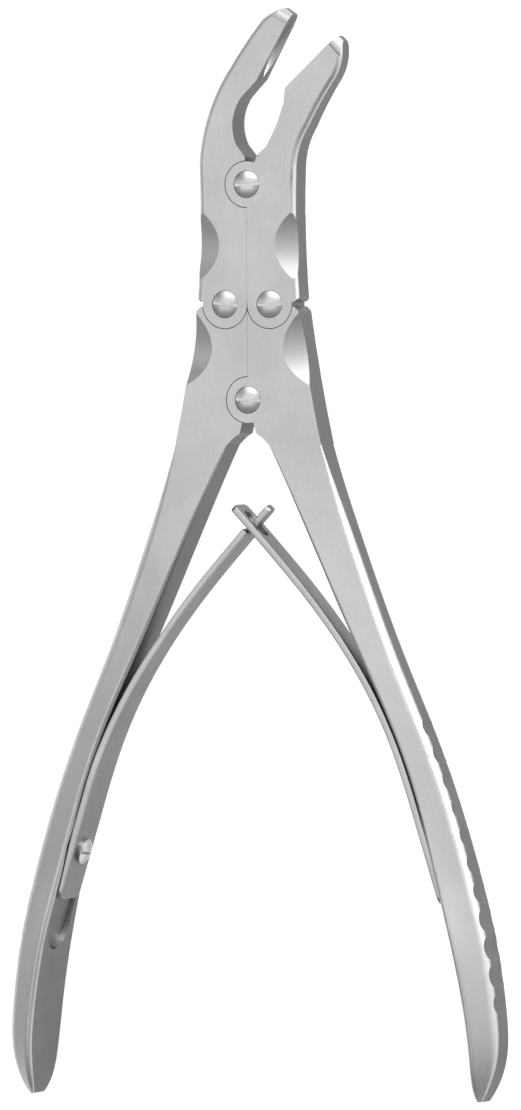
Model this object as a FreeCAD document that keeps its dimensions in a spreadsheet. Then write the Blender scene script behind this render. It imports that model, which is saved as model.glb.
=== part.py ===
import FreeCAD
import Part
import math
import os
import Sketcher
from FreeCAD import Placement, Rotation, Vector

# Double-action bone rongeur, lying on the back of its joint with the jaws open.
# X runs across the instrument, Y towards the jaws and Z out of the joint's front face.
# The origin is on the joint's back face, on the axis of the handle pivot.

# Driving dimensions in millimetres and degrees
SIZES = {
    # joint of half laps; depths are from the middle plane
    "joint_thickness": 5.7,
    "lap_gap": 0.05,
    "seam_gap": 0.04,
    "shoulder_gap": 0.8,
    "lug_radius": 4.03,
    "lug_clearance": 0.14,
    "pivot_lug_radius": 3.85,
    "lug_to_seam": 0.04,
    "link_rise": 16.08,
    "jaw_pivot_rise": 36.25,
    # pivot screws
    "shank_radius": 1.5,
    "thread_clearance": 0.02,
    "running_clearance": 0.05,
    "loose_clearance": 0.1,
    "head_radius": 2.25,
    "head_seat": 1.15,
    "head_flat": 1.1,
    "head_rise": 0.45,
    "head_clearance": 0.08,
    "tail_chamfer": 0.2,
    "slot_width": 0.5,
    "slot_depth": 0.6,
    # joint plate of each handle
    "shoulder_half_width": 9.3,
    "plate_hollow": 0.25,
    "waist_hollow": 0.26,
    "plate_middle_rise": 3.8,
    "shoulder_notch": 0.75,
    "crotch_angle": 15.4,
    "crotch_wall": 5.91,
    # jaws, closed on the parting line between them
    "jaw_swing": 8.6,
    "rim_relief": 0.15,
    "bite_start_radius": 17.6,
    "bite_start_angle": 14.45,
    "bite_tip_radius": 29.6,
    "bite_tip_angle": 24.25,
    "notch_half_angle": 12.8,
    "notch_angle": 9.2,
    "notch_wall_left": 4.65,
    "notch_wall_right": 5.35,
    "taper_start": 5.0,
    "taper_end": 31.0,
    "tip_width": 3.6,
    "beak_round": 1.05,
    "nose_length": 1.9,
    "nose_overrun": 0.3,
    "cup_depth": 1.7,
    "cup_land": 0.6,
    # thumb scoops on the front edges of the joint
    "scoop_length": 12.3,
    "scoop_reach": 3.8,
    "scoop_drop": 1.4,
    "jaw_scoop_below": 10.2,
    "handle_scoop_above": 8.0,
    # serrations on the grips
    "serration_pitch": 4.8,
    "serration_width": 3.4,
    "serration_depth": 0.3,
    "serration_count": 11,
    # leaf springs
    "spring_thickness": 1.2,
    "spring_width": 8.0,
    "spring_tip_width": 5.2,
    "spring_taper_start": 62.0,
    "spring_taper_end": 40.0,
    "spring_clearance": 0.05,
    "seat_angle": 17.3,
    "seat_side_gap": 0.3,
    "seat_end_gap": 9.1,
    "spring_length_below_screw": 8.6,
    "spring_seat_above_screw": 10.4,
    "tongue_width": 2.2,
    "tongue_start": 22.15,
    "spring_slot_width": 2.8,
    "spring_slot_reach": 2.9,
    # spring screws
    "spring_screw_radius": 1.1,
    "spring_screw_depth": 3.0,
    "spring_head_radius": 2.2,
    "spring_head_flat": 0.55,
    "spring_head_rise": 0.75,
}

# Named points in the plane of the joint: across from the centre line, up from the nearest pivot
SPOTS = {
    "crotch_lip": (2.5, -6.25),
    "jaw_half_width": (8.9, 3.3),
    "left_throat_low": (-1.85, 6.6),
    "left_throat_deep": (-2.6, 10.5),
    "left_throat_top": (-1.0, 14.7),
    "left_back_high": (-3.4, 19.7),
    "left_back": (-7.4, 11.6),
    "right_throat_low": (3.55, 6.3),
    "right_throat_deep": (5.25, 9.6),
    "right_throat_top": (6.7, 13.7),
    "right_back": (13.2, 13.6),
    "right_back_low": (11.05, 9.6),
    "right_hip": (9.55, 6.5),
    "spring_screw_seat": (33.26, -76.0),
    "spring_bend_low": (19.1, -44.4),
    "spring_bend_high": (8.0, -30.0),
    "spring_tip": (-3.1, -18.0),
    "spring_cross": (0.0, -21.12),
}

# Points of each beak: back from its tip along the bite, and out from the bite to its back
BEAKS = {
    "left_tip": (-0.2, 1.84),
    "left_tip_shoulder": (1.39, 3.36),
    "left_tip_back": (3.57, 4.49),
    "left_beak": (8.37, 5.18),
    "right_tip": (-0.1, 1.16),
    "right_tip_back": (2.12, 3.53),
    "right_beak": (5.22, 5.01),
}

# Cross-sections of a handle below the joint, by how far they are below the handle pivot:
# outer edge, inner edge, depth of the inner face, its shift to the back, depth of the outer edge,
# rounding of the outer edge, rounding of the inner edge
STATIONS = {
    7.5: (13.3, 3.8, 5.7, 0.0, 5.7, 0.25, 0.15),
    13.0: (15.15, 6.5, 6.3, 0.0, 5.7, 0.8, 0.4),
    20.0: (17.75, 9.8, 7.0, 0.0, 5.8, 1.6, 0.6),
    30.0: (21.45, 14.4, 7.6, 0.0, 5.8, 2.0, 0.7),
    43.0: (26.5, 20.5, 8.1, 0.0, 5.8, 2.1, 0.7),
    55.0: (31.65, 26.1, 8.5, 0.0, 5.7, 2.1, 0.7),
    67.0: (36.15, 30.5, 9.1, 0.2, 5.7, 2.1, 0.7),
    80.0: (40.05, 34.1, 11.3, 0.5, 5.6, 2.1, 0.7),
    91.0: (42.7, 37.0, 14.0, 1.1, 5.4, 2.1, 0.7),
    102.0: (44.25, 39.1, 14.9, 1.9, 5.2, 2.1, 0.7),
    110.0: (44.35, 39.95, 14.5, 2.1, 4.9, 1.8, 0.7),
    115.0: (42.8, 40.1, 11.0, 1.4, 4.4, 0.9, 0.6),
    117.5: (41.4, 40.5, 5.4, 0.4, 3.4, 0.3, 0.3),
}
STATION_SIZES = (
    "outer", "inner", "inner_depth", "inner_shift", "outer_depth", "outer_round", "inner_round",
)


# A size is a number together with the spreadsheet expression that works it out
class Size:
    def __init__(self, value, text):
        self.value = float(value)
        self.text = text

    def __add__(self, other):
        other = as_size(other)
        return Size(self.value + other.value, f"({self.text} + {other.text})")

    def __sub__(self, other):
        other = as_size(other)
        return Size(self.value - other.value, f"({self.text} - {other.text})")

    def __mul__(self, other):
        other = as_size(other)
        return Size(self.value * other.value, f"({self.text} * {other.text})")

    def __truediv__(self, other):
        other = as_size(other)
        return Size(self.value / other.value, f"({self.text} / {other.text})")

    def __neg__(self):
        return Size(-self.value, f"(0 - {self.text})")

    __radd__ = __add__
    __rmul__ = __mul__


def as_size(number):
    if isinstance(number, Size):
        return number
    return Size(number, f"({float(number):.9f})")


def sine(angle):
    return Size(math.sin(math.radians(angle.value)), f"sin({angle.text})")


def cosine(angle):
    return Size(math.cos(math.radians(angle.value)), f"cos({angle.text})")


def root(number):
    return Size(math.sqrt(number.value), f"sqrt({number.text})")


def polar(radius, angle):
    # The angle is counted from +Y towards +X
    return radius * sine(angle), radius * cosine(angle)


doc = FreeCAD.newDocument("rongeur")
sheet = doc.addObject("Spreadsheet::Sheet", "Sizes")
sheet_row = 0
of_name = {}


def put_in_sheet(name, number):
    global sheet_row
    sheet_row += 1
    sheet.set(f"A{sheet_row}", name)
    sheet.set(f"B{sheet_row}", str(number))
    sheet.setAlias(f"B{sheet_row}", name)
    of_name[name] = Size(number, f"Sizes.{name}")


for size_name, number in SIZES.items():
    put_in_sheet(size_name, number)
for spot_name, (across, up) in SPOTS.items():
    put_in_sheet(spot_name + "_across", across)
    put_in_sheet(spot_name + "_up", up)
for station, (below, numbers) in enumerate(STATIONS.items(), start=1):
    put_in_sheet(f"station_{station}_below", below)
    for part_name, number in zip(STATION_SIZES, numbers):
        put_in_sheet(f"station_{station}_{part_name}", number)
for point_name, (back, out) in BEAKS.items():
    put_in_sheet(point_name + "_back", back)
    put_in_sheet(point_name + "_out", out)
doc.recompute()


def size(name):
    return of_name[name]


def spot(name, side=1):
    return side * size(name + "_across"), size(name + "_up")


def bind(thing, prop, number):
    thing.setExpression(prop, as_size(number).text)


# Sizes that follow from the driving ones
half_joint = size("joint_thickness") / 2
half_lap_gap = size("lap_gap") / 2
half_seam = size("seam_gap") / 2
lug_depth = half_joint - half_lap_gap
waist = (size("jaw_half_width_across") + size("shoulder_half_width")) / 2 - size("waist_hollow")
plate_middle = (size("shoulder_half_width") + size("station_1_outer")) / 2 - size("plate_hollow")
link_across = size("lug_radius") + size("lug_to_seam")
foot_drop = size("jaw_pivot_rise") - size("link_rise")
PIVOT = (as_size(0), as_size(0))


# Sketching

class Via:
    # A point that an arc passes through on its way between its two ends
    def __init__(self, point):
        self.point = point


def flat(point):
    return Vector(as_size(point[0]).value, as_size(point[1]).value, 0)


def new_sketch(body, name, plane="XY_Plane", lift=None, offset=None):
    sketch = body.newObject("Sketcher::SketchObject", name)
    support = next(f for f in body.Origin.OriginFeatures if f.Role == plane)
    sketch.AttachmentSupport = [(support, "")]
    sketch.MapMode = "FlatFace"
    if offset:
        sketch.AttachmentOffset = offset
    if lift is not None:
        sketch.AttachmentOffset = Placement(Vector(0, 0, lift.value), Rotation())
        bind(sketch, "AttachmentOffset.Base.z", lift)
    return sketch


def hold(sketch, kind, *where, number):
    index = sketch.addConstraint(Sketcher.Constraint(kind, *where, as_size(number).value))
    sketch.renameConstraint(index, f"held{index}")
    bind(sketch, f"Constraints.held{index}", number)


def pin(sketch, edge, end, point):
    hold(sketch, "DistanceX", -1, 1, edge, end, number=point[0])
    hold(sketch, "DistanceY", -1, 1, edge, end, number=point[1])


def end_at(curve, place):
    return 1 if curve.StartPoint.distanceToPoint(place) < 1e-6 else 2


def arc_through(start, middle, finish):
    # The solver takes every arc as running anticlockwise
    if (middle - start).cross(finish - middle).z < 0:
        return Part.Arc(finish, middle, start)
    return Part.Arc(start, middle, finish)


def draw_loop(sketch, path):
    stops = [i for i, step in enumerate(path) if not isinstance(step, Via)]
    ends = []
    for here, there in zip(stops, stops[1:] + [stops[0] + len(path)]):
        start = path[here]
        finish = path[there % len(path)]
        if there - here == 2:
            via = path[here + 1].point
            curve = arc_through(flat(start), flat(via), flat(finish))
            edge = sketch.addGeometry(curve)
            guide = sketch.addGeometry(Part.Point(flat(via)), True)
            pin(sketch, guide, 1, via)
        else:
            edge = sketch.addGeometry(Part.LineSegment(flat(start), flat(finish)))
            guide = None
        first = end_at(sketch.Geometry[edge], flat(start))
        pin(sketch, edge, first, start)
        ends.append((edge, first, 3 - first, guide))
    for (edge, _, last, guide), following in zip(ends, ends[1:] + ends[:1]):
        sketch.addConstraint(Sketcher.Constraint("Coincident", edge, last, following[0], following[1]))
        if guide is not None:
            sketch.addConstraint(Sketcher.Constraint("PointOnObject", guide, 1, edge))


def draw_circle(sketch, centre, radius):
    circle = Part.Circle(flat(centre), Vector(0, 0, 1), as_size(radius).value)
    edge = sketch.addGeometry(circle)
    hold(sketch, "Radius", edge, number=radius)
    pin(sketch, edge, 3, centre)


def draw_rounded(sketch, corners):
    # Each corner is its point and its rounding radius, taken in order round the loop
    points = [flat(corner[:2]) for corner in corners]
    count = len(corners)
    rounds = []
    for i, (_, _, radius) in enumerate(corners):
        before = (points[i - 1] - points[i]).normalize()
        after = (points[(i + 1) % count] - points[i]).normalize()
        half = before.getAngle(after) / 2
        reach = radius.value / math.tan(half)
        middle = (before + after).normalize() * (radius.value / math.sin(half) - radius.value)
        rounds.append((points[i] + before * reach, points[i] + middle, points[i] + after * reach))
    lines = []
    arcs = []
    for i, (start, middle, finish) in enumerate(rounds):
        arcs.append(sketch.addGeometry(arc_through(start, middle, finish)))
        lines.append(sketch.addGeometry(Part.LineSegment(finish, rounds[(i + 1) % count][0])))
    for i, (x, y, radius) in enumerate(corners):
        curve = sketch.Geometry[arcs[i]]
        arc_start = end_at(curve, rounds[i][0])
        sketch.addConstraint(Sketcher.Constraint("Tangent", arcs[i], arc_start, lines[i - 1], 2))
        sketch.addConstraint(Sketcher.Constraint("Tangent", arcs[i], 3 - arc_start, lines[i], 1))
        hold(sketch, "Radius", arcs[i], number=radius)
        corner = sketch.addGeometry(Part.Point(points[i]), True)
        sketch.addConstraint(Sketcher.Constraint("PointOnObject", corner, 1, lines[i - 1]))
        sketch.addConstraint(Sketcher.Constraint("PointOnObject", corner, 1, lines[i]))
        pin(sketch, corner, 1, (x, y))


def draw_tangent_path(sketch, points):
    # A straight run and then arcs, each tangent to the one before
    start, finish = flat(points[0]), flat(points[1])
    edge = sketch.addGeometry(Part.LineSegment(start, finish))
    pin(sketch, edge, 1, points[0])
    pin(sketch, edge, 2, points[1])
    heading = (finish - start).normalize()
    last = 2
    for point in points[2:]:
        start, finish = finish, flat(point)
        chord = finish - start
        aside = Vector(-heading.y, heading.x, 0)
        radius = chord.dot(chord) / (2 * chord.dot(aside))
        centre = start + aside * radius
        middle = centre + ((start + finish) / 2 - centre).normalize() * abs(radius)
        arc = sketch.addGeometry(arc_through(start, middle, finish))
        first = end_at(sketch.Geometry[arc], start)
        sketch.addConstraint(Sketcher.Constraint("Tangent", edge, last, arc, first))
        pin(sketch, arc, 3 - first, point)
        chord.normalize()
        heading = chord * (2 * heading.dot(chord)) - heading
        edge = arc
        last = 3 - first


# Features

def new_body(name, across=0, up=0):
    body = doc.addObject("PartDesign::Body", name)
    body.Label = name
    place_at(body, across, up)
    return body


def place_at(body, across, up, turn=0):
    bind(body, "Placement.Base.x", across)
    bind(body, "Placement.Base.y", up)
    bind(body, "Placement.Base.z", half_joint)
    body.Placement.Rotation = Rotation(Vector(0, 0, 1), turn)


def pad(body, sketch, name, length, middle=False, backwards=False):
    feature = body.newObject("PartDesign::Pad", name)
    feature.Profile = sketch
    bind(feature, "Length", length)
    feature.Midplane = middle
    feature.Reversed = backwards
    sketch.Visibility = False
    return feature


def pocket(body, sketch, name, length=None, middle=False, forwards=False):
    feature = body.newObject("PartDesign::Pocket", name)
    feature.Profile = sketch
    feature.Midplane = middle
    feature.Reversed = forwards
    if length is None:
        feature.Type = "ThroughAll"
    else:
        bind(feature, "Length", length)
    return feature


def disc(body, name, centre, radius, lift):
    sketch = new_sketch(body, name + "_circle", lift=lift)
    draw_circle(sketch, centre, radius)
    return sketch


def half_lap(body, name, centre, front, radius):
    # The piece keeps one half of the thickness: a lug in it and a recess for its mate's lug
    level = half_lap_gap if front else -half_lap_gap
    recess = disc(body, name + "_recess", centre, radius + size("lug_clearance"), level)
    pocket(body, recess, name + "_recess", forwards=not front)
    lug = disc(body, name + "_lug", centre, radius, level)
    pad(body, lug, name + "_lug", lug_depth, backwards=not front)


def thread(body, name, centre):
    hole = disc(body, name, centre, size("shank_radius") + size("thread_clearance"), half_joint)
    pocket(body, hole, name)


def bearing(body, name, centre, clearance="running_clearance"):
    hole = disc(body, name, centre, size("shank_radius") + size(clearance), half_joint)
    pocket(body, hole, name)
    seat = disc(body, name + "_seat", centre, size("head_radius") + size("head_clearance"), half_joint)
    pocket(body, seat, name + "_seat", length=size("head_seat"))


def cylinder_cut(body, name, base, rotation, radius, length):
    cut = body.newObject("PartDesign::SubtractiveCylinder", name)
    support = next(f for f in body.Origin.OriginFeatures if f.Role == "XY_Plane")
    cut.AttachmentSupport = [(support, "")]
    cut.MapMode = "FlatFace"
    start = Vector(*(as_size(number).value for number in base))
    cut.AttachmentOffset = Placement(start, rotation)
    for axis, number in zip("xyz", base):
        bind(cut, f"AttachmentOffset.Base.{axis}", number)
    bind(cut, "Radius", radius)
    bind(cut, "Height", length)
    return cut


def scoop(body, name, edge_across, edge_up, side, lean):
    # A shallow cylinder taken out of the front outer edge, sloping down towards the side
    reach = size("scoop_reach")
    drop = size("scoop_drop")
    slope = root(reach * reach + drop * drop)
    depth = reach * drop / slope
    half = size("scoop_length") / 2
    radius = (half * half + depth * depth) / (2 * depth)
    off_edge = radius - depth
    run = 2 * slope
    centre_x = edge_across + side * off_edge * drop / slope - side * run * reach / slope
    centre_z = half_joint + off_edge * reach / slope + run * drop / slope
    tilt = 90 + math.degrees(math.atan2(drop.value, reach.value))
    rotation = Rotation(Vector(0, 0, 1), lean) * Rotation(Vector(0, 1, 0), side * tilt)
    cylinder_cut(body, name, (centre_x, edge_up, centre_z), rotation, radius, 2 * run)


def walls_through(shape, points):
    faces = []
    for face in shape.Faces:
        near = [p for p in points if face.distToShape(Part.Vertex(p))[0] < 1e-3]
        if near:
            faces.append(face)
    return faces


def rim_edges(shape, points):
    # Edges along the front and back of the upright walls that pass through the points
    names = []
    for face in walls_through(shape, points):
        for edge in face.Edges:
            low, high = edge.BoundBox.ZMin, edge.BoundBox.ZMax
            if low * high > 0:
                names.extend(f"Edge{i}" for i, e in enumerate(shape.Edges, 1) if e.isSame(edge))
    return sorted(set(names))


# Handles

def seat_frame(side):
    # Along the spring seat towards the tail, and square to it towards the grip's outside
    along = (side * sine(size("seat_angle")), -cosine(size("seat_angle")))
    outward = (side * cosine(size("seat_angle")), sine(size("seat_angle")))
    return along, outward


def seat_point(side, along_by, outward_by):
    along, outward = seat_frame(side)
    x, y = spot("spring_screw_seat", side)
    x += along[0] * along_by + outward[0] * outward_by
    y += along[1] * along_by + outward[1] * outward_by
    return x, y


def seat_offset(side, point):
    # A sketch plane on the seat: its x runs to the tail, its y is the depth
    along, outward = seat_frame(side)
    x_way = Vector(along[0].value, along[1].value, 0)
    y_way = Vector(0, 0, side)
    z_way = x_way.cross(y_way)
    return Placement(flat(point), Rotation(x_way, y_way, z_way, "XYZ"))


def bind_base(thing, point):
    bind(thing, "AttachmentOffset.Base.x", point[0])
    bind(thing, "AttachmentOffset.Base.y", point[1])


def circle_centre(points):
    (ax, ay), (bx, by), (cx, cy) = points
    a = ax * ax + ay * ay
    b = bx * bx + by * by
    c = cx * cx + cy * cy
    twice = 2 * (ax * (by - cy) + bx * (cy - ay) + cx * (ay - by))
    x = (a * (by - cy) + b * (cy - ay) + c * (ay - by)) / twice
    y = (a * (cx - bx) + b * (ax - cx) + c * (bx - ax)) / twice
    return x, y


def grip_point(station, side):
    return side * size(f"station_{station}_outer"), -size(f"station_{station}_below")


def serrate(body, side):
    # Shallow hollows across the grip's outer edge, evenly spaced round the arc that it follows
    ends = [grip_point(6, side), grip_point(8, side), grip_point(10, side)]
    centre = circle_centre(ends)
    across = ends[0][0] - centre[0]
    up = ends[0][1] - centre[1]
    grip_radius = root(across * across + up * up)
    half = size("serration_width") / 2
    depth = size("serration_depth")
    hollow = (half * half + depth * depth) / (2 * depth)
    offset = Placement(flat(centre), Rotation())
    sketch = new_sketch(body, "serration_circle", offset=offset)
    bind_base(sketch, centre)
    out = grip_radius + hollow - depth
    draw_circle(sketch, (across / grip_radius * out, up / grip_radius * out), hollow)
    first = pocket(body, sketch, "serration", length=4 * half_joint, middle=True)
    doc.recompute()
    row = body.newObject("PartDesign::PolarPattern", "serrations")
    row.Originals = [first]
    row.Axis = (sketch, ["N_Axis"])
    row.Occurrences = int(SIZES["serration_count"])
    turn = size("serration_pitch") * (size("serration_count") - 1) * (180 / math.pi) / grip_radius
    bind(row, "Angle", turn)
    row.Reversed = side > 0
    body.Tip = row


def make_handle(name, side, front):
    body = new_body(name)
    shoulder = size("link_rise") - size("shoulder_gap") / 2
    notch = size("shoulder_notch")
    outer = side * size("shoulder_half_width")
    base = -size("station_1_below")
    wall = polar(size("crotch_wall"), size("crotch_angle"))
    plate = new_sketch(body, "plate_outline")
    draw_loop(plate, [
        (side * half_seam, shoulder),
        (outer - side * notch, shoulder),
        (outer, shoulder - notch),
        Via((side * plate_middle, size("plate_middle_rise"))),
        (side * size("station_1_outer"), base),
        (side * size("station_1_inner"), base),
        spot("crotch_lip", side),
        (side * wall[0], -wall[1]),
        (side * half_seam, as_size(0)),
    ])
    pad(body, plate, "plate", size("joint_thickness"), middle=True)

    sections = []
    for station in range(1, len(STATIONS) + 1):
        x_out, x_in, deep_in, shift, deep_out, round_out, round_in = (
            size(f"station_{station}_{part_name}") for part_name in STATION_SIZES)
        sketch = new_sketch(body, f"section_{station}", plane="XZ_Plane",
                            lift=size(f"station_{station}_below"))
        draw_rounded(sketch, [
            (side * x_in, -deep_in / 2 - shift, round_in),
            (side * x_in, deep_in / 2 - shift, round_in),
            (side * x_out, deep_out / 2, round_out),
            (side * x_out, -deep_out / 2, round_out),
        ])
        sections.append(sketch)
    shank = body.newObject("PartDesign::AdditiveLoft", "shank")
    shank.Profile = sections[0]
    shank.Sections = sections[1:]
    shank.Ruled = False

    link = (side * link_across, size("link_rise"))
    half_lap(body, "link", link, False, size("lug_radius"))
    thread(body, "link_thread", link)
    half_lap(body, "pivot", PIVOT, front, size("pivot_lug_radius"))
    if front:
        bearing(body, "pivot_hole", PIVOT)
    else:
        thread(body, "pivot_thread", PIVOT)
    above = size("handle_scoop_above")
    rise = size("link_rise") + size("station_1_below")
    spread = size("station_1_outer") - size("shoulder_half_width")
    edge = plate_middle - (above - size("plate_middle_rise")) * spread / rise
    lean = math.degrees(math.atan2(spread.value, rise.value))
    scoop(body, "thumb_scoop", side * edge, above, side, side * lean)
    doc.recompute()
    serrate(body, side)

    # Seat of the spring, milled into the inner face and rounded at its lower end
    low = size("spring_length_below_screw") + size("seat_end_gap")
    high = size("spring_seat_above_screw")
    half = size("spring_width") / 2 + size("seat_side_gap")
    centre = seat_point(side, 0, 0)
    seat = new_sketch(body, "spring_seat_outline", offset=seat_offset(side, centre))
    bind_base(seat, centre)
    draw_loop(seat, [
        (-high, half),
        (low - half, half),
        Via((low, as_size(0))),
        (low - half, -half),
        (-high, -half),
    ])
    pocket(body, seat, "spring_seat", length=size("joint_thickness"), forwards=True)
    x, y = seat_point(side, 0, -size("spring_thickness"))
    into = Rotation(Vector(0, 0, 1), Vector(seat_frame(side)[1][0].value, seat_frame(side)[1][1].value, 0))
    cylinder_cut(body, "spring_thread", (x, y, as_size(0)), into,
                 size("spring_screw_radius") + size("thread_clearance"),
                 size("spring_thickness") + size("spring_screw_depth") + size("tail_chamfer"))
    return body


# Jaws

def bite(side, radius, angle):
    # A point of the parting line, swung out to where the open jaw holds it
    open_by = size("jaw_swing") + size("rim_relief")
    return polar(size(radius), size(angle) + side * open_by)


def rim_frame(side):
    # Along the bite from its tip to its start, and out from it towards the beak's back
    start = bite(side, "bite_start_radius", "bite_start_angle")
    tip = bite(side, "bite_tip_radius", "bite_tip_angle")
    run = (start[0] - tip[0], start[1] - tip[1])
    length = root(run[0] * run[0] + run[1] * run[1])
    along = (run[0] / length, run[1] / length)
    outward = (-side * along[1], side * along[0])
    return start, tip, length, along, outward


def from_tip(side, back, out):
    _, tip, _, along, outward = rim_frame(side)
    return tip[0] + along[0] * back + outward[0] * out, tip[1] + along[1] * back + outward[1] * out


def beak(name, side):
    return from_tip(side, size(name + "_back"), size(name + "_out"))


def make_jaw(name, side, front, wall, inner, outer):
    body = new_body(name, 0, size("jaw_pivot_rise"))
    foot = -foot_drop + size("shoulder_gap") / 2
    notch = size("shoulder_notch")
    foot_outer = side * size("shoulder_half_width")
    wall_angle = size("notch_angle") + side * size("notch_half_angle")
    start, tip, length, along, _ = rim_frame(side)
    blank = new_sketch(body, "blank_outline")
    draw_loop(blank, [
        (foot_outer - side * notch, foot),
        (side * half_seam, foot),
        (side * half_seam, as_size(0)),
        polar(size(wall), wall_angle),
        *inner,
        start,
        tip,
        *outer,
        spot("jaw_half_width", side),
        Via((side * waist, -foot_drop / 2)),
        (foot_outer, foot + notch),
    ])
    pad(body, blank, "blank", size("joint_thickness"), middle=True)

    # Front and back faces of the beak narrow towards the tip
    above = size("joint_thickness")
    sides = new_sketch(body, "taper_outline", plane="YZ_Plane")
    for way in (1, -1):
        draw_loop(sides, [
            (size("taper_start"), way * half_joint),
            (size("taper_end"), way * size("tip_width") / 2),
            (size("taper_end"), way * above),
            (size("taper_start"), way * above),
        ])
    pocket(body, sides, "taper", length=2 * size("taper_end"), middle=True)
    doc.recompute()
    taper = body.Tip
    backs = [flat(step.point) for step in outer if isinstance(step, Via)]
    rounding = body.newObject("PartDesign::Fillet", "beak_rounding")
    rounding.Base = (taper, rim_edges(taper.Shape, backs))
    bind(rounding, "Radius", size("beak_round"))

    # Seen from its back the beak ends in a round nose
    ahead = Vector(-along[0].value, -along[1].value, 0)
    face = Rotation(ahead, Vector(0, 0, 1), ahead.cross(Vector(0, 0, 1)), "XYZ")
    nose = new_sketch(body, "nose_outline", offset=Placement(flat(tip), face))
    bind_base(nose, tip)
    half_tip = size("tip_width") / 2
    far = 2 * size("nose_length")
    draw_loop(nose, [
        (-size("nose_length"), half_tip),
        Via((size("nose_overrun"), as_size(0))),
        (-size("nose_length"), -half_tip),
        (-size("nose_length"), -above),
        (far, -above),
        (far, above),
        (-size("nose_length"), above),
    ])
    pocket(body, nose, "nose", length=2 * size("taper_end"), middle=True)

    # The cup is a spindle turned about the rim line
    cup = new_sketch(body, "cup_profile")
    land = size("cup_land")
    deep = from_tip(side, length / 2, size("cup_depth"))
    near = from_tip(side, length - land, as_size(0))
    far = from_tip(side, land, as_size(0))
    draw_loop(cup, [near, Via(deep), far])
    groove = body.newObject("PartDesign::Groove", "cup")
    groove.Profile = cup
    groove.ReferenceAxis = (cup, ["Edge2"])
    groove.Angle = 360

    link = (side * link_across, -foot_drop)
    half_lap(body, "link", link, True, size("lug_radius"))
    bearing(body, "link_hole", link, "loose_clearance" if side > 0 else "running_clearance")
    half_lap(body, "pivot", PIVOT, front, size("pivot_lug_radius"))
    if front:
        bearing(body, "pivot_hole", PIVOT)
    else:
        thread(body, "pivot_thread", PIVOT)
    scoop(body, "thumb_scoop", side * waist, -size("jaw_scoop_below"), side, 0)
    return body


# Screws

def turn_screw(body, shank, head, tail, under_head, rim, top):
    chamfer = size("tail_chamfer")
    zero = as_size(0)
    profile = new_sketch(body, "profile", plane="XZ_Plane")
    draw_loop(profile, [
        (zero, tail),
        (shank - chamfer, tail),
        (shank, tail + chamfer),
        (shank, under_head),
        (head, under_head),
        (head, rim),
        Via(dome(head, rim, top)),
        (zero, top),
    ])
    turned = body.newObject("PartDesign::Revolution", "turned")
    turned.Profile = profile
    turned.ReferenceAxis = (profile, ["V_Axis"])
    turned.Angle = 360
    half = size("slot_width") / 2
    slot = new_sketch(body, "slot_outline", lift=top)
    draw_loop(slot, [
        (-2 * head, -half),
        (2 * head, -half),
        (2 * head, half),
        (-2 * head, half),
    ])
    pocket(body, slot, "slot", length=size("slot_depth"))


def dome(head, rim, top):
    # Half-way in from the head's rim on a ball-shaped top
    rise = top - rim
    ball = (head * head + rise * rise) / (2 * rise)
    return head / 2, top - ball + root(ball * ball - head * head / 4)


def make_pivot_screw(name, across, up, turn):
    body = new_body(name)
    place_at(body, across, up, turn)
    under_head = half_joint - size("head_seat")
    rim = under_head + size("head_flat")
    top = half_joint + size("head_rise")
    turn_screw(body, size("shank_radius"), size("head_radius"), -half_joint, under_head, rim, top)


def make_spring_screw(name, side):
    # Its own Z axis points from the tip to the head, which lies on the spring's inner face
    body = new_body(name)
    x, y = seat_point(side, 0, 0)
    out = seat_frame(side)[1]
    place_at(body, x, y)
    inward = Vector(-out[0].value, -out[1].value, 0)
    body.Placement.Rotation = Rotation(Vector(0, 0, side), Vector(0, 1, 0), inward, "ZXY")
    under_head = size("spring_thickness") + size("spring_clearance")
    rim = under_head + size("spring_head_flat")
    top = rim + size("spring_head_rise")
    tail = -size("spring_screw_depth")
    turn_screw(body, size("spring_screw_radius"), size("spring_head_radius"), tail, under_head, rim, top)


# Springs

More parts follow.
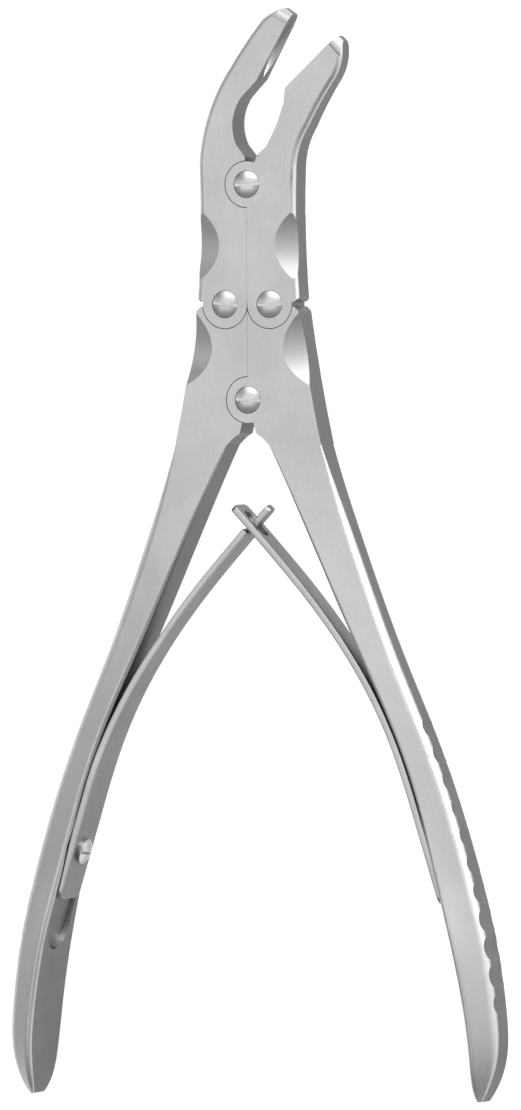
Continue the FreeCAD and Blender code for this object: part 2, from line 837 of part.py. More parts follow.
def make_spring(name, side, slotted):
    body = new_body(name)
    middle = -(size("spring_clearance") + size("spring_thickness") / 2)
    low = seat_point(side, size("spring_length_below_screw"), middle)
    high = seat_point(side, -size("spring_seat_above_screw"), middle)
    path = new_sketch(body, "leaf_path")
    draw_tangent_path(path, [
        low,
        high,
        spot("spring_bend_low", side),
        spot("spring_bend_high", side),
        spot("spring_tip", side),
    ])
    along, outward = seat_frame(side)
    x_way = Vector(outward[0].value, outward[1].value, 0)
    y_way = Vector(0, 0, 1)
    face = Rotation(x_way, y_way, x_way.cross(y_way), "XYZ")
    section = new_sketch(body, "leaf_section", offset=Placement(flat(low), face))
    bind_base(section, low)
    half_thick = size("spring_thickness") / 2
    half_wide = size("spring_width") / 2
    draw_loop(section, [
        (-half_thick, -half_wide),
        (half_thick, -half_wide),
        (half_thick, half_wide),
        (-half_thick, half_wide),
    ])
    leaf = body.newObject("PartDesign::AdditivePipe", "leaf")
    leaf.Profile = section
    leaf.Spine = (path, ["Edge1", "Edge2", "Edge3", "Edge4"])
    x, y = seat_point(side, 0, size("spring_thickness"))
    inward = Rotation(Vector(0, 0, 1), Vector(-outward[0].value, -outward[1].value, 0))
    cylinder_cut(body, "screw_hole", (x, y, as_size(0)), inward,
                 size("spring_screw_radius") + size("running_clearance"), 4 * size("spring_thickness"))
    taper_end = -size("spring_taper_end")
    top = size("spring_tip_up") + size("spring_width")
    beside = size("spring_width")
    cheeks = new_sketch(body, "cheeks", plane="YZ_Plane")
    for way in (1, -1):
        draw_loop(cheeks, [
            (-size("spring_taper_start"), way * half_wide),
            (taper_end, way * size("spring_tip_width") / 2),
            (top, way * size("spring_tip_width") / 2),
            (top, way * beside),
            (-size("spring_taper_start"), way * beside),
        ])
    pocket(body, cheeks, "narrowed", length=2 * top - 4 * taper_end, middle=True)
    if slotted:
        slot = new_sketch(body, "slot_circle")
        draw_circle(slot, spot("spring_cross"), size("spring_slot_reach"))
        pocket(body, slot, "slot", length=size("spring_slot_width"), middle=True)
    else:
        start = -size("tongue_start")
        tongue = new_sketch(body, "tongue_cheeks", plane="YZ_Plane")
        for way in (1, -1):
            draw_loop(tongue, [
                (start, way * size("tongue_width") / 2),
                (top, way * size("tongue_width") / 2),
                (top, way * beside),
                (start, way * beside),
            ])
        pocket(body, tongue, "tongue", length=2 * beside, middle=True)
    return body


left, right = -1, 1
make_handle("left_handle", left, front=False)
make_handle("right_handle", right, front=True)
make_jaw("left_jaw", left, False, "notch_wall_left", [
    spot("left_throat_low"),
    Via(spot("left_throat_deep")),
    spot("left_throat_top"),
], [
    beak("left_tip", left),
    Via(beak("left_tip_shoulder", left)),
    beak("left_tip_back", left),
    Via(beak("left_beak", left)),
    spot("left_back_high"),
    Via(spot("left_back")),
])
make_jaw("right_jaw", right, True, "notch_wall_right", [
    spot("right_throat_low"),
    Via(spot("right_throat_deep")),
    spot("right_throat_top"),
], [
    beak("right_tip", right),
    Via(beak("right_tip_back", right)),
    beak("right_beak", right),
    Via(spot("right_back")),
    spot("right_back_low"),
    Via(spot("right_hip")),
])
make_pivot_screw("jaw_pivot_screw", 0, size("jaw_pivot_rise"), 4)
make_pivot_screw("left_link_screw", -link_across, size("link_rise"), -6)
make_pivot_screw("right_link_screw", link_across, size("link_rise"), 3)
make_pivot_screw("handle_pivot_screw", 0, 0, -3)
make_spring("left_spring", left, slotted=False)
make_spring("right_spring", right, slotted=True)
make_spring_screw("left_spring_screw", left)
make_spring_screw("right_spring_screw", right)
doc.recompute()

# Every object has to be sound, and every cut has to take something away
CUTS = ("Pocket", "Groove", "SubtractiveCylinder")
for thing in doc.Objects:
    for state in ("Invalid", "Error"):
        if state in thing.State:
            raise RuntimeError(f"{thing.Label} is {state}: {thing.getStatusString()}")
    if thing.TypeId.endswith(CUTS) and thing.BaseFeature.Shape.Volume - thing.Shape.Volume < 1e-3:
        raise RuntimeError(f"{thing.Label} takes nothing away")
bodies = [thing for thing in doc.Objects if thing.TypeId == "PartDesign::Body"]
for body in bodies:
    if body.Shape.isNull() or not body.Shape.isValid():
        raise RuntimeError(f"{body.Label} is not a valid shape")
os.makedirs("parts", exist_ok=True)
for body in bodies:
    body.Shape.exportStep(f"parts/{body.Label}.step")
    print(body.Label, len(body.Shape.Solids), "solid", round(body.Shape.Volume, 1), "mm3")
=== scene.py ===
import math
import bmesh
import bpy
from mathutils import Matrix, Vector
from mathutils.geometry import delaunay_2d_cdt


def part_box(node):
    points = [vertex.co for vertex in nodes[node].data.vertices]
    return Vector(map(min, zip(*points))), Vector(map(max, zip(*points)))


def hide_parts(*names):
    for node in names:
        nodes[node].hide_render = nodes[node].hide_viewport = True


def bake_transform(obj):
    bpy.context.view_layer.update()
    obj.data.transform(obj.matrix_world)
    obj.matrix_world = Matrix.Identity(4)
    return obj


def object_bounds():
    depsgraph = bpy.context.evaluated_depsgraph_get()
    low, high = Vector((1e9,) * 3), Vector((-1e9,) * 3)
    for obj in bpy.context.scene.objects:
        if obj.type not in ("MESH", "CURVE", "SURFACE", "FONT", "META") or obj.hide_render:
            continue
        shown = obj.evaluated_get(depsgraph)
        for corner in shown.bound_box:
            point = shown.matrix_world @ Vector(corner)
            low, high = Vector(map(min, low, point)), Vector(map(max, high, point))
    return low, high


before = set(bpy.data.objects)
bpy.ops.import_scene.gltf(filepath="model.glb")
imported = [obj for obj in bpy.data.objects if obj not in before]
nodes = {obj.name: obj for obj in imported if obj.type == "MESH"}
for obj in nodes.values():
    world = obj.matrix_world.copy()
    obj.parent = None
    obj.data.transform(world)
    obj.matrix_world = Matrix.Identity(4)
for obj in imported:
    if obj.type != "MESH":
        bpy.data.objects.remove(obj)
cadBox = [list(corner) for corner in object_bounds()]
mm = 0.001
backFace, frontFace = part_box("right_jaw")[0].z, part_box("right_jaw")[1].z
midPlane = (backFace + frontFace) / 2
print("frame loaded,", len(nodes), "pieces of steel")


# Camera, at the photograph's angle
cameraSettings = {
    "azimuth": 23.0,      # degrees towards the side that the jaws curve to
    "elevation": 1.5,     # degrees towards the jaws
    "roll": -0.35,
    "distance": 2.4,
    "target": (0.96 * mm, -26.15 * mm),
    "pixelSize": 0.16834 * mm,
    "imageHeight": 1110,
    "sensor": 36.0,
}


def makeCamera(settings):
    az = math.radians(settings["azimuth"])
    el = math.radians(settings["elevation"])
    away = Vector((math.sin(az) * math.cos(el), math.sin(el), math.cos(az) * math.cos(el)))
    across = Vector((0, 1, 0)).cross(away).normalized()
    up = away.cross(across)
    turn = Matrix((across, up, away)).transposed() @ Matrix.Rotation(math.radians(settings["roll"]), 3, "Z")
    data = bpy.data.cameras.new("camera")
    data.sensor_width = settings["sensor"]
    data.sensor_fit = "AUTO"
    tall = settings["imageHeight"] * settings["pixelSize"]
    data.lens = settings["sensor"] * settings["distance"] / tall
    data.clip_start = 0.01
    data.clip_end = 20
    camera = bpy.data.objects.new("camera", data)
    camera.matrix_world = turn.to_4x4()
    target = Vector((*settings["target"], midPlane))
    camera.location = target + away * settings["distance"]
    bpy.context.scene.collection.objects.link(camera)
    bpy.context.scene.camera = camera


makeCamera(cameraSettings)
print("camera placed")


# Shader building blocks
def mathNode(tree, operation, first, second):
    node = tree.nodes.new("ShaderNodeMath")
    node.operation = operation
    for socket, value in zip(node.inputs, (first, second)):
        if hasattr(value, "node"):
            tree.links.new(value, socket)
        elif value is not None:
            socket.default_value = value
    return node.outputs[0]


def vectorNode(tree, operation, first, second=None):
    node = tree.nodes.new("ShaderNodeVectorMath")
    node.operation = operation
    for socket, value in zip(node.inputs, (first, second)):
        if hasattr(value, "node"):
            tree.links.new(value, socket)
        elif value is not None:
            socket.default_value = value
    return node.outputs["Value"] if operation in ("DOT_PRODUCT", "LENGTH") else node.outputs["Vector"]


def mapRange(tree, value, low, high, toLow=0.0, toHigh=1.0, smooth=False):
    node = tree.nodes.new("ShaderNodeMapRange")
    node.interpolation_type = "SMOOTHSTEP" if smooth else "LINEAR"
    tree.links.new(value, node.inputs["Value"])
    for name, number in (("From Min", low), ("From Max", high), ("To Min", toLow), ("To Max", toHigh)):
        if hasattr(number, "node"):
            tree.links.new(number, node.inputs[name])
        else:
            node.inputs[name].default_value = number
    return node.outputs["Result"]


def mixColor(tree, share, first, second):
    node = tree.nodes.new("ShaderNodeMix")
    node.data_type = "RGBA"
    for socket, value in zip((node.inputs[0], node.inputs[6], node.inputs[7]), (share, first, second)):
        if hasattr(value, "node"):
            tree.links.new(value, socket)
        else:
            socket.default_value = value
    return node.outputs[2]


def noise(tree, vector, scale, detail=2.0, roughness=0.5):
    node = tree.nodes.new("ShaderNodeTexNoise")
    tree.links.new(vector, node.inputs["Vector"])
    for name, number in (("Scale", scale), ("Detail", detail), ("Roughness", roughness)):
        if hasattr(number, "node"):
            tree.links.new(number, node.inputs[name])
        else:
            node.inputs[name].default_value = number
    return node.outputs["Fac"]


def stretchedNoise(tree, vector, width, length, detail):
    # Streaks of this width and length, in metres, along the vector's Y
    apart = tree.nodes.new("ShaderNodeSeparateXYZ")
    tree.links.new(vector, apart.inputs[0])
    joined = tree.nodes.new("ShaderNodeCombineXYZ")
    for axis, reach in (("X", width), ("Y", length), ("Z", width)):
        tree.links.new(mathNode(tree, "DIVIDE", apart.outputs[axis], reach), joined.inputs[axis])
    return noise(tree, joined.outputs[0], 1.0, detail, 0.6)


def objectPlace(tree):
    return tree.nodes.new("ShaderNodeTexCoord").outputs["Object"]


def newGroup(name, inputs, outputs):
    group = bpy.data.node_groups.new(name, "ShaderNodeTree")
    for socketName, kind, value in inputs:
        socket = group.interface.new_socket(socketName, in_out="INPUT", socket_type="NodeSocket" + kind)
        socket.default_value = value
    for socketName, kind in outputs:
        group.interface.new_socket(socketName, in_out="OUTPUT", socket_type="NodeSocket" + kind)
    return group, group.nodes.new("NodeGroupInput").outputs, group.nodes.new("NodeGroupOutput").inputs


# Fine lines of the grinding belt, which run along the piece, over a soft blasted grain
def makeBeltGrain():
    group, given, result = newGroup(
        "beltGrain",
        [("Turn", "Vector", (0, 0, 0)), ("Line Width", "Float", 0.00009), ("Line Length", "Float", 0.003),
         ("Grain Size", "Float", 0.00007)],
        [("Lines", "Float"), ("Grain", "Float")],
    )
    turned = group.nodes.new("ShaderNodeMapping")
    group.links.new(objectPlace(group), turned.inputs["Vector"])
    group.links.new(given["Turn"], turned.inputs["Rotation"])
    lines = stretchedNoise(group, turned.outputs["Vector"], given["Line Width"], given["Line Length"], 3.0)
    group.links.new(lines, result["Lines"])
    fine = mathNode(group, "DIVIDE", 1.0, given["Grain Size"])
    group.links.new(noise(group, objectPlace(group), fine, 2.0), result["Grain"])
    return group


# Worn, brighter metal where an edge has been rubbed; the breakup keeps it from being an even line
def makeEdgeWear():
    group, given, result = newGroup(
        "edgeWear",
        [("Reach", "Float", 0.0003), ("Start", "Float", 0.02), ("Full", "Float", 0.22),
         ("Breakup Size", "Float", 0.0012)],
        [("Edge", "Float")],
    )
    bevel = group.nodes.new("ShaderNodeBevel")
    bevel.samples = 4
    group.links.new(given["Reach"], bevel.inputs["Radius"])
    geometry = group.nodes.new("ShaderNodeNewGeometry")
    likeness = vectorNode(group, "DOT_PRODUCT", bevel.outputs[0], geometry.outputs["Normal"])
    turnedAway = mathNode(group, "SUBTRACT", 1.0, likeness)
    mask = mapRange(group, turnedAway, given["Start"], given["Full"], smooth=True)
    patches = noise(group, objectPlace(group), mathNode(group, "DIVIDE", 1.0, given["Breakup Size"]), 3.0)
    broken = mathNode(group, "MULTIPLY", mask, mapRange(group, patches, 0.3, 0.62, 0.45, 1.0))
    group.links.new(broken, result["Edge"])
    return group


# How far a face looks to the front or back. Front and back faces keep the steel's lighter colour, and faces
# turned sideways get a darker colour as painted shade.
def makeSideShadeAndRoughness():
    group, given, result = newGroup(
        "sideShadeAndRoughness",
        [("Side", "Float", 0.1), ("Flat", "Float", 0.5)],
        [("Flat", "Float")],
    )
    apart = group.nodes.new("ShaderNodeSeparateXYZ")
    group.links.new(group.nodes.new("ShaderNodeTexCoord").outputs["Normal"], apart.inputs[0])
    steep = mathNode(group, "ABSOLUTE", apart.outputs["Z"], None)
    group.links.new(mapRange(group, steep, given["Side"], given["Flat"], smooth=True), result["Flat"])
    return group


# Faint smudges from gloves and cloths, and a few short scratches
def makeHandling():
    group, given, result = newGroup(
        "handling",
        [("Smudge Size", "Float", 0.009), ("Scratch Width", "Float", 0.00012),
         ("Scratch Length", "Float", 0.005)],
        [("Smudge", "Float"), ("Scratch", "Float")],
    )
    spot = objectPlace(group)
    large = noise(group, spot, mathNode(group, "DIVIDE", 1.0, given["Smudge Size"]), 4.0, 0.55)
    group.links.new(mapRange(group, large, 0.35, 0.65, smooth=True), result["Smudge"])
    turned = group.nodes.new("ShaderNodeMapping")
    turned.inputs["Rotation"].default_value = (0.3, 0.2, 0.7)
    group.links.new(spot, turned.inputs["Vector"])
    along = turned.outputs["Vector"]
    streaks = stretchedNoise(group, along, given["Scratch Width"], given["Scratch Length"], 0.0)
    group.links.new(mapRange(group, streaks, 0.71, 0.76), result["Scratch"])
    return group


# Rings left by the lathe round a screw's own axis
def makeTurnedRings():
    group, given, result = newGroup(
        "turnedRings",
        [("Centre", "Vector", (0, 0, 0)), ("Axis", "Vector", (0, 0, 1)), ("Pitch", "Float", 0.00012)],
        [("Rings", "Float")],
    )
    out = vectorNode(group, "SUBTRACT", objectPlace(group), given["Centre"])
    away = vectorNode(group, "LENGTH", vectorNode(group, "CROSS_PRODUCT", out, given["Axis"]))
    turns = mathNode(group, "DIVIDE", away, given["Pitch"])
    wave = mathNode(group, "SINE", mathNode(group, "MULTIPLY", turns, 2 * math.pi), None)
    wander = noise(group, objectPlace(group), 2500.0, 2.0)
    group.links.new(mathNode(group, "MULTIPLY", wave, wander), result["Rings"])
    return group


beltGrain = makeBeltGrain()
edgeWear = makeEdgeWear()
sideShadeAndRoughness = makeSideShadeAndRoughness()
handling = makeHandling()
turnedRings = makeTurnedRings()
print("shader groups built")


def place(tree, group, **values):
    node = tree.nodes.new("ShaderNodeGroup")
    node.node_tree = group
    for name, value in values.items():
        node.inputs[name.replace("_", " ")].default_value = value
    return node.outputs


def makeSteel(name, settings, rings=None):
    material = bpy.data.materials.new(name)
    material.use_nodes = True
    tree = material.node_tree
    shader = tree.nodes["Principled BSDF"]
    shader.inputs["Metallic"].default_value = 1.0
    lean = (0, 0, math.radians(settings["lean"]))
    grain = place(tree, beltGrain, Turn=lean, Line_Width=settings["lineWidth"])
    wear = place(tree, edgeWear, Reach=settings["wearReach"])
    facing = place(tree, sideShadeAndRoughness)
    marks = place(tree, handling)
    # Faces turned sideways take the darker side colour: painted shade standing in for the dark reflections on
    # the steel's sides
    sideShadedColor = mixColor(tree, facing["Flat"], settings["sideColor"], settings["faceColor"])
    shade = mapRange(tree, grain["Lines"], 0.3, 0.7, 1 - settings["lineShade"], 1 + settings["lineShade"])
    speck = mapRange(tree, grain["Grain"], 0.3, 0.7, 1 - settings["grainShade"], 1 + settings["grainShade"])
    stain = mapRange(tree, marks["Smudge"], 0.0, 1.0, 1.0, 1 - settings["smudgeShade"])
    level = mathNode(tree, "MULTIPLY", mathNode(tree, "MULTIPLY", shade, speck), stain)
    shaded = tree.nodes.new("ShaderNodeVectorMath")
    shaded.operation = "SCALE"
    tree.links.new(sideShadedColor, shaded.inputs[0])
    tree.links.new(level, shaded.inputs["Scale"])
    rubbed = mathNode(tree, "MULTIPLY", wear["Edge"], settings["wearShare"])
    color = mixColor(tree, rubbed, shaded.outputs[0], settings["wearColor"])
    tree.links.new(color, shader.inputs["Base Color"])
    rough = mapRange(tree, facing["Flat"], 0.0, 1.0, settings["sideRough"], settings["faceRough"])
    for share, operation, mask in (
        (settings["smudgeRough"], "ADD", marks["Smudge"]),
        (settings["scratchShine"], "SUBTRACT", marks["Scratch"]),
        (settings["wearShine"], "SUBTRACT", rubbed),
    ):
        rough = mathNode(tree, operation, rough, mathNode(tree, "MULTIPLY", mask, share))
    tree.links.new(rough, shader.inputs["Roughness"])
    lineHeight = mathNode(tree, "MULTIPLY", grain["Lines"], settings["lineHeight"])
    grainHeight = mathNode(tree, "MULTIPLY", grain["Grain"], settings["grainHeight"])
    scratchDepth = mathNode(tree, "MULTIPLY", marks["Scratch"], settings["scratchDepth"])
    height = mathNode(tree, "SUBTRACT", mathNode(tree, "ADD", lineHeight, grainHeight), scratchDepth)
    if rings:
        turned = place(tree, turnedRings, Centre=rings[0], Axis=rings[1])
        ringHeight = mathNode(tree, "MULTIPLY", turned["Rings"], settings["ringHeight"])
        height = mathNode(tree, "ADD", height, ringHeight)
    bump = tree.nodes.new("ShaderNodeBump")
    bump.inputs["Strength"].default_value = settings["bump"]
    bump.inputs["Distance"].default_value = settings["bumpDepth"]
    tree.links.new(height, bump.inputs["Height"])
    tree.links.new(bump.outputs["Normal"], shader.inputs["Normal"])
    return material


def withChanges(settings, **changes):
    return {**settings, **changes}


def camelWords(name):
    return "".join(word.capitalize() for word in name.split("_"))


steelSettings = {
    "faceColor": (0.62, 0.62, 0.63, 1),
    # The darker side colour is painted shade for faces turned sideways
    "sideColor": (0.15, 0.15, 0.152, 1),
    "wearColor": (0.80, 0.80, 0.81, 1),
    "wearShare": 0.45,
    "wearReach": 0.00025,
    "faceRough": 0.40,
    "sideRough": 0.42,
    "lean": 0.0,          # degrees that the grinding lines lean from the long axis
    "lineWidth": 0.00009,
    "lineShade": 0.05,
    "grainShade": 0.07,
    "smudgeShade": 0.04,
    "smudgeRough": 0.05,
    "scratchShine": 0.06,
    "wearShine": 0.12,
    "lineHeight": 0.6,
    "grainHeight": 0.4,
    "scratchDepth": 0.5,
    "ringHeight": 0.5,
    "bump": 0.35,
    "bumpDepth": 0.00001,
}


def paint(name, material):
    slots = nodes[name].data.materials
    slots.clear()
    slots.append(material)


for name, lean in (("left_handle", -17), ("right_handle", 17), ("left_jaw", 8), ("right_jaw", 8)):
    paint(name, makeSteel("satinSteel" + camelWords(name), withChanges(steelSettings, lean=lean)))

screwSettings = withChanges(
    steelSettings,
    faceColor=(0.70, 0.70, 0.70, 1),
    # The darker side colour is painted shade for faces turned sideways
    sideColor=(0.42, 0.42, 0.42, 1),
    faceRough=0.30,
    sideRough=0.32,
    wearReach=0.00012,
    lineShade=0.02,
    grainShade=0.05,
)
for name in ("jaw_pivot_screw", "left_link_screw", "right_link_screw", "handle_pivot_screw"):
    low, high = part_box(name)
    materialName = "screwSteel" + camelWords(name.replace("_screw", ""))
    paint(name, makeSteel(materialName, screwSettings, rings=((low + high) / 2, (0, 0, 1))))
print("joint and handles finished in satin steel")


# Leaf springs, hugging the handles below and crossing above, where one's tongue passes the other's slot
springSettings = {
    "screwSeat": (33.26, -76.0),
    "seatAngle": 17.3,
    "belowScrew": 8.6,
    "aboveScrew": 10.4,
    "clearance": 0.05,
    "thickness": 1.2,
    "bends": ((19.1, -44.4), (8.0, -30.0), (-3.1, -18.0)),
    "width": 8.0,
    "tipWidth": 5.2,
    "taper": (-62.0, -40.0),
    "tongueStart": -22.15,
    "tongueWidth": 2.2,
    "cross": (0.0, -21.12),
    "slotReach": 2.9,
    "slotWidth": 2.8,
    "holeRadius": 1.15,
    "endRound": 1.4,
    "tipRound": 0.9,
    "edgeRound": 0.2,
    "step": 0.7,          # size of the faces
    "rimMargin": 0.45,    # band along the edges without points inside it
    "columns": 6,         # of points on each side of the middle line
    "bendStart": (19.9, -46.0),
}


# The line of a spring on the right, as runs of (start, heading, curvature, length) in millimetres
def springRuns(settings):
    angle = math.radians(settings["seatAngle"])
    along = Vector((math.sin(angle), -math.cos(angle)))
    outward = Vector((math.cos(angle), math.sin(angle)))
    seat = Vector(settings["screwSeat"]) - outward * (settings["clearance"] + settings["thickness"] / 2)
    low = seat + along * settings["belowScrew"]
    high = seat - along * settings["aboveScrew"]
    heading = (high - low).normalized()
    runs = [(low, heading, 0.0, (high - low).length)]
    start = high
    for finish in settings["bends"]:
        chord = Vector(finish) - start
        aside = Vector((-heading.y, heading.x))
        curve = 2 * chord.dot(aside) / chord.dot(chord)
        half = math.asin(curve * chord.length / 2)
        runs.append((start, heading, curve, 2 * half / curve))
        heading = (chord * (2 * heading.dot(chord) / chord.dot(chord)) - heading).normalized()
        start = Vector(finish)
    return runs


def pointOnRuns(runs, reach):
    for start, heading, curve, length in runs:
        if reach <= length or (start, heading, curve, length) == runs[-1]:
            break
        reach -= length
    aside = Vector((-heading.y, heading.x))
    if curve == 0:
        return start + heading * reach, heading
    turn = curve * reach
    point = start + heading * (math.sin(turn) / curve) + aside * ((1 - math.cos(turn)) / curve)
    return point, heading * math.cos(turn) + aside * math.sin(turn)


def springHalfWidth(settings, up, tongue):
    if tongue and up > settings["tongueStart"]:
        return settings["tongueWidth"] / 2
    low, high = settings["taper"]
    share = min(max((up - low) / (high - low), 0), 1)
    return (settings["width"] + (settings["tipWidth"] - settings["width"]) * share) / 2


def roundEnd(reach, half, radius, way):
    # One half of a rounded end, from its side to its middle
    steps = 8
    turns = [math.pi / 2 * step / steps for step in range(steps + 1)]
    return [(reach + way * radius * (math.sin(a) - 1), half - radius * (1 - math.cos(a))) for a in turns]


def springOutline(settings, runs, tongue):
    total = sum(run[3] for run in runs)
    endRound, tipRound = settings["endRound"], settings["tipRound"]
    side = roundEnd(0, settings["width"] / 2, endRound, -1)[::-1]
    last = settings["width"] / 2
    count = round(total / settings["step"])
    spare, shoulder = 0.2, 0.4  # kept free beside a rounded end, and the least step in at the tongue
    for index in range(1, count):
        reach = total * index / count
        if reach < endRound + spare or reach > total - tipRound - spare:
            continue
        half = springHalfWidth(settings, pointOnRuns(runs, reach)[0].y, tongue)
        if last - half > shoulder:
            side += [(reach - 0.05, last), (reach, last - 0.1), (reach + 0.05, half + 0.1)]
            reach += spare
        side.append((reach, half))
        last = half
    side += roundEnd(total, last, tipRound, 1)
    mirrored = [(reach, -half) for reach, half in reversed(side)]
    return side + mirrored, total


def roundHole(middle, reach, half):
    steps = 12
    right = [(middle + reach - half + half * math.cos(a), half * math.sin(a))
             for a in [math.pi * (step / steps - 0.5) for step in range(steps + 1)]]
    left = [(2 * middle - x, -y) for x, y in right]
    return right + left


def inLoop(point, loop):
    inside = False
    for (ax, ay), (bx, by) in zip(loop, loop[1:] + loop[:1]):
        if (ay > point[1]) != (by > point[1]) and point[0] < (bx - ax) * (point[1] - ay) / (by - ay) + ax:
            inside = not inside
    return inside


def distanceToLoop(point, loop):
    best = 1e9
    p = Vector(point)
    for a, b in zip(loop, loop[1:] + loop[:1]):
        a, b = Vector(a), Vector(b)
        run = b - a
        share = min(max((p - a).dot(run) / max(run.dot(run), 1e-12), 0), 1)
        best = min(best, (p - a - run * share).length)
    return best


# Triangles between the outline and the holes, as the blank lies before it is bent
def fillFlat(settings, outline, holes, total):
    def inside(spot):
        return inLoop(spot, outline) and not any(inLoop(spot, hole) for hole in holes)

    loops = [outline] + holes
    points, edges = [], []
    for loop in loops:
        first = len(points)
        points += [Vector(point) for point in loop]
        edges += [(first + i, first + (i + 1) % len(loop)) for i in range(len(loop))]
    step, columns = settings["step"], settings["columns"]
    for row in range(1, int(total / step)):
        for column in range(-columns, columns + 1):
            spot = (row * step, column * step)
            if inside(spot) and min(distanceToLoop(spot, loop) for loop in loops) > settings["rimMargin"]:
                points.append(Vector(spot))
    filled = delaunay_2d_cdt(points, edges, [], 1, 1e-5)
    flatPoints = filled[0]
    centres = [sum((flatPoints[i] for i in face), Vector((0, 0))) / len(face) for face in filled[2]]
    return flatPoints, [face for face, centre in zip(filled[2], centres) if inside(centre)]


def makeSpring(name, side, settings, tongue):
    runs = springRuns(settings)
    outline, total = springOutline(settings, runs, tongue)
    holes = [roundHole(settings["belowScrew"], settings["holeRadius"], settings["holeRadius"])]
    if not tongue:
        tries = 2000
        cross = Vector(settings["cross"])
        middle = min((total * index / tries for index in range(tries + 1)),
                     key=lambda reach: (pointOnRuns(runs, reach)[0] - cross).length)
        holes.append(roundHole(middle, settings["slotReach"], settings["slotWidth"] / 2))
    flatPoints, flatFaces = fillFlat(settings, outline, holes, total)
    mesh = bmesh.new()
    half = settings["thickness"] / 2
    layers = [[mesh.verts.new((p.x, p.y, level)) for p in flatPoints] for level in (half, -half)]
    for face in flatFaces:
        mesh.faces.new([layers[0][i] for i in face])
        mesh.faces.new([layers[1][i] for i in reversed(face)])
    borders = [edge for edge in mesh.edges if len(edge.link_faces) == 1 and edge.verts[0].co.z > 0]
    index = {vert: i for i, vert in enumerate(layers[0])}
    for edge in borders:
        loop = edge.link_loops[0]
        a, b = index[loop.vert], index[loop.link_loop_next.vert]
        mesh.faces.new((layers[0][b], layers[0][a], layers[1][a], layers[1][b]))
    loose = [vert for vert in mesh.verts if not vert.link_faces]
    bmesh.ops.delete(mesh, geom=loose, context="VERTS")
    mesh.normal_update()
    rims = [edge for edge in mesh.edges if edge.calc_face_angle(0) > math.radians(69)
            and abs(edge.verts[0].co.z - edge.verts[1].co.z) < 1e-6]
    bmesh.ops.bevel(mesh, geom=rims, offset=settings["edgeRound"], segments=2, profile=0.5, affect="EDGES")
    for vert in mesh.verts:
        reach, across, lift = vert.co
        centre, heading = pointOnRuns(runs, reach)
        spot = centre + Vector((-heading.y, heading.x)) * lift
        vert.co = Vector((side * spot.x * mm, spot.y * mm, midPlane + across * mm))
    bmesh.ops.recalc_face_normals(mesh, faces=mesh.faces)
    for face in mesh.faces:
        face.smooth = True
    data = bpy.data.meshes.new(name)
    mesh.to_mesh(data)
    mesh.free()
    data.set_sharp_from_angle(angle=math.radians(35))
    piece = bpy.data.objects.new(name, data)
    bpy.context.scene.collection.objects.link(piece)
    return piece


springSteel = makeSteel("springSteel", withChanges(
    steelSettings,
    faceColor=(0.58, 0.58, 0.59, 1),
    # The darker side colour is painted shade for faces turned sideways
    sideColor=(0.19, 0.19, 0.194, 1),
    wearShare=0.15,
    lineWidth=0.00006,
    faceRough=0.34,
    sideRough=0.36,
    wearReach=0.00015,
))
for side, name, other, tongue in ((-1, "left", "right", True), (1, "right", "left", False)):
    spring = makeSpring(name + "_leaf_spring", side, springSettings, tongue)
    spring.data.materials.append(springSteel)
    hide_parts(name + "_spring")
    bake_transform(spring)
    screw = name + "_spring_screw"
    seatAngle = math.radians(springSettings["seatAngle"])
    axis = (side * math.cos(seatAngle), math.sin(seatAngle), 0)
    seatAcross, seatUp = springSettings["screwSeat"]
    centre = Vector((side * seatAcross * mm, seatUp * mm, midPlane))
    paint(screw, makeSteel("screwSteel" + name.capitalize() + "Spring", screwSettings, rings=(centre, axis)))
print("leaf springs bent and screwed down")


# Floor, white to the eye and in the steel's reflections, with the shadow kept
floorSettings = {"size": 3.0, "color": (0.35, 0.35, 0.35, 1), "glow": 0.86}


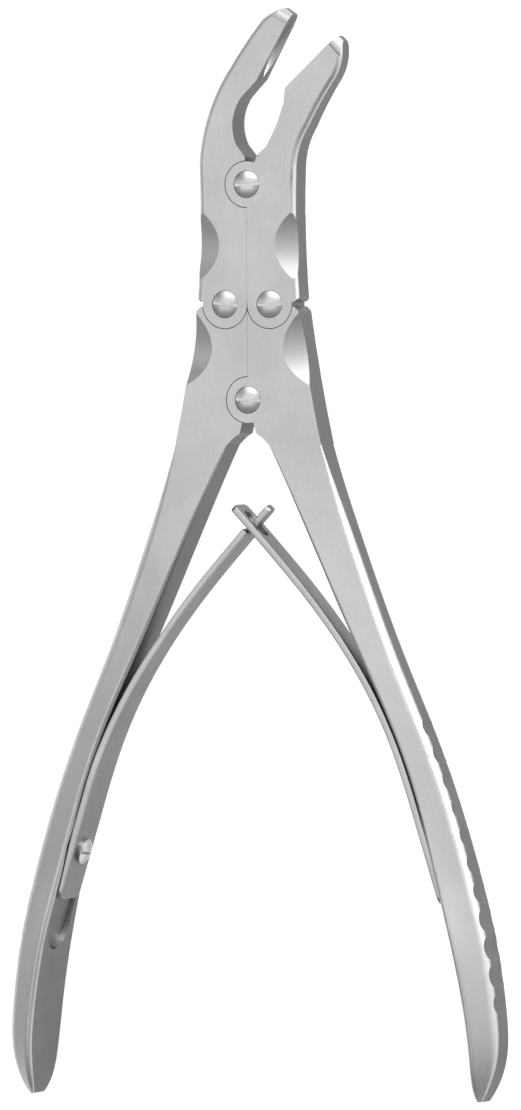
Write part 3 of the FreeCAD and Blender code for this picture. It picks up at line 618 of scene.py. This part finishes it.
def makeFloor(settings):
    half = settings["size"] / 2
    low = cadBox[0][2] - 0.02 * mm
    mesh = bpy.data.meshes.new("floor")
    corners = [(across * half, up * half, low) for across, up in ((-1, -1), (1, -1), (1, 1), (-1, 1))]
    mesh.from_pydata(corners, [], [(0, 1, 2, 3)])
    floor = bpy.data.objects.new("floor", mesh)
    bpy.context.scene.collection.objects.link(floor)
    material = bpy.data.materials.new("paperSweep")
    material.use_nodes = True
    tree = material.node_tree
    paper = tree.nodes["Principled BSDF"]
    paper.inputs["Base Color"].default_value = settings["color"]
    paper.inputs["Roughness"].default_value = 0.9
    paper.inputs["Specular IOR Level"].default_value = 0.1
    paper.inputs["Emission Color"].default_value = (1, 1, 1, 1)
    light = tree.nodes.new("ShaderNodeLightPath")
    mirrored = mathNode(tree, "MAXIMUM", light.outputs["Is Glossy Ray"], light.outputs["Is Transmission Ray"])
    seen = mathNode(tree, "MAXIMUM", light.outputs["Is Camera Ray"], mirrored)
    tree.links.new(mathNode(tree, "MULTIPLY", seen, settings["glow"]), paper.inputs["Emission Strength"])
    floor.data.materials.append(material)


makeFloor(floorSettings)
bpy.context.scene.view_settings.view_transform = "Standard"


# A broad soft lamp in front, one beyond the jaws, and a narrow strip low on each side
lampSettings = {
    "key": {"place": (-0.27, -0.02, 0.80), "size": (0.90, 0.56), "power": 1.35},
    "top": {"place": (0.02, 0.56, 0.72), "size": (0.95, 0.34), "power": 1.9},
    "rightStrip": {"place": (0.75, 0.35, 0.07), "size": (1.0, 0.16), "power": 8.0},
    "leftStrip": {"place": (-0.80, 0.10, 0.06), "size": (1.0, 0.10), "power": 0.4},
}
skySettings = {
    "low": (0.24, 0.24, 0.242, 1),
    "high": (0.95, 0.95, 0.96, 1),
    "brightWay": (0.62, 0.78, 0.0),
    "reach": (-0.15, 0.85),
}


def makeLamp(name, settings):
    data = bpy.data.lights.new(name, "AREA")
    data.shape = "RECTANGLE"
    data.size, data.size_y = settings["size"]
    data.energy = settings["power"]
    lamp = bpy.data.objects.new(name, data)
    lamp.location = settings["place"]
    aim = Vector((0, -0.02, 0)) - lamp.location
    lamp.rotation_mode = "QUATERNION"
    lamp.rotation_quaternion = aim.to_track_quat("-Z", "Z")
    bpy.context.scene.collection.objects.link(lamp)


def makeSky(settings):
    world = bpy.data.worlds.new("studio")
    bpy.context.scene.world = world
    world.use_nodes = True
    tree = world.node_tree
    way = tree.nodes.new("ShaderNodeTexCoord").outputs["Generated"]
    toBright = vectorNode(tree, "DOT_PRODUCT", way, settings["brightWay"])
    share = mapRange(tree, toBright, *settings["reach"], smooth=True)
    tree.links.new(mixColor(tree, share, settings["low"], settings["high"]),
                   tree.nodes["Background"].inputs["Color"])


for lampName, lamp in lampSettings.items():
    makeLamp(lampName, lamp)
makeSky(skySettings)
print("floor, lamps and sky set")
